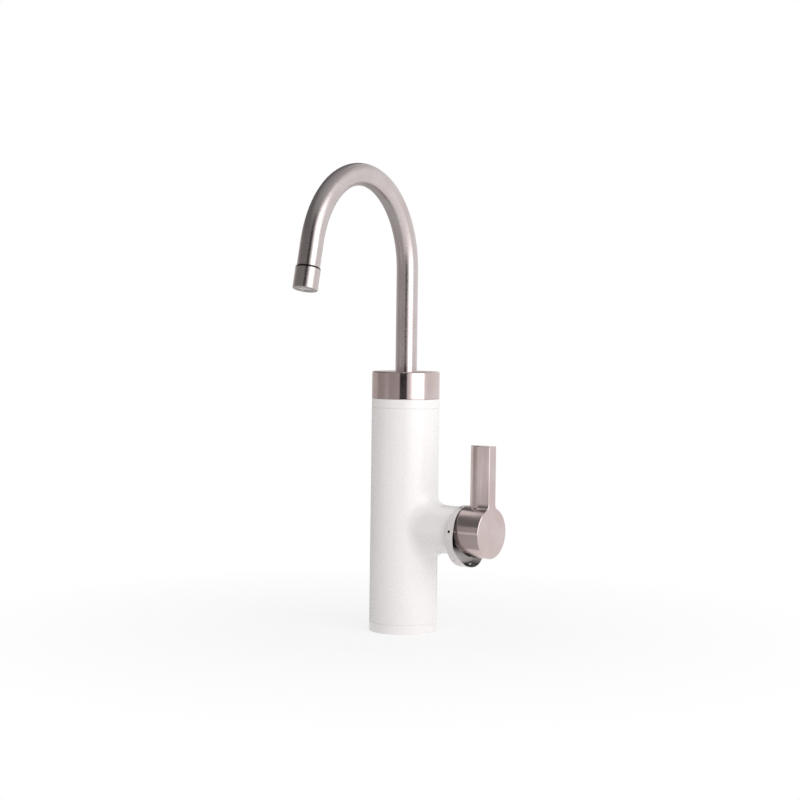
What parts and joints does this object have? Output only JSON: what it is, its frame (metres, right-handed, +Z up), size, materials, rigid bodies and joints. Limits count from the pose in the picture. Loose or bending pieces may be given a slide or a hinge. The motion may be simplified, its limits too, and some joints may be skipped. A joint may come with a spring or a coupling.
{
  "type": "kitchen mixer tap",
  "caption": "Tall kitchen mixer tap: white round body holding a filter, a side branch with a brushed steel drum and upright lever, and a swivelling gooseneck spout.",
  "frame": {"origin": "on the body's vertical axis, at the underside of the base, where it meets the deck", "axes": "+Z up along the body's axis, +X out along the lever branch, -Y ahead, which is about where the spout points at rest"},
  "size_m": [0.123, 0.2045, 0.4073],
  "materials": {
    "white_enamel": "gloss white enamel on metal",
    "brushed_steel": "stainless steel, satin, brushed",
    "pale_enamel": "satin pale enamel on metal",
    "brass": "machined brass",
    "steel": "turned stainless steel",
    "screw_steel": "stainless steel screws",
    "ceramic": "lapped alumina, satin",
    "cartridge_plastic": "moulded acetal, light grey",
    "filter_plastic": "moulded polypropylene, milky",
    "glide_plastic": "moulded acetal, white",
    "insert_plastic": "moulded acetal, pale grey",
    "carbon": "pressed activated carbon, dull",
    "fleece": "needled white fleece",
    "rubber": "moulded black rubber"
  },
  "bodies": {
    "tap_body": {"base_gasket": "rubber", "base_ring": "white_enamel", "base_screws": "screw_steel", "inlet_block": "brass", "hot_riser": "steel", "cold_riser": "steel", "riser_o_rings": "rubber", "body_shell": "white_enamel", "valve_housing": "brass", "outlet_o_ring": "rubber", "cartridge_base": "cartridge_plastic", "port_seals": "rubber", "fixed_disc": "ceramic", "cartridge_housing": "cartridge_plastic", "cartridge_nut": "brass", "bezel_ring": "pale_enamel", "neck_ring": "white_enamel", "filter_canister": "filter_plastic", "filter_lower_cap": "filter_plastic", "carbon_block": "carbon", "filter_fleece": "fleece", "filter_upper_cap": "filter_plastic", "filter_o_ring": "rubber", "canister_lid": "filter_plastic", "lid_o_ring": "rubber", "spout_socket": "brass", "spout_lock_screw": "screw_steel", "spout_glide_ring": "glide_plastic", "collar": "brushed_steel"},
    "carrier": {"lever_carrier": "cartridge_plastic", "lever_pin": "steel"},
    "lever": {"handle": "brushed_steel", "lever_stem": "steel", "handle_set_screw": "screw_steel"},
    "mixing_disc": {"moving_disc": "ceramic", "disc_driver": "cartridge_plastic"},
    "spout": {"spout_tube": "brushed_steel", "spout_spigot": "brass", "spout_o_rings": "rubber", "aerator_bush": "brass", "aerator_seal": "rubber", "aerator_shell": "brushed_steel", "aerator_insert": "insert_plastic"}
  },
  "joints": [
    {"name": "spout_swivel", "type": "hinge", "parent": "tap_body", "child": "spout", "pos_m": [0, 0, 0.21], "axis": [0, 0, 1], "continuous": true},
    {"name": "handle_turn", "type": "hinge", "parent": "tap_body", "child": "carrier", "pos_m": [0.056, 0, 0.093], "axis": [1, 0, 0], "range_deg": [-45, 45]},
    {"name": "handle_tilt", "type": "hinge", "parent": "carrier", "child": "lever", "pos_m": [0.056, 0, 0.093], "axis": [0, 1, 0], "range_deg": [0, 18]},
    {"name": "disc_slide", "type": "slide", "parent": "carrier", "child": "mixing_disc", "axis": [0, 0, 1], "range_m": [0, 0.00318]}
  ],
  "couplings": [
    {"joint": "disc_slide", "follows": "handle_tilt", "m_per_rad": 0.0101}
  ]
}
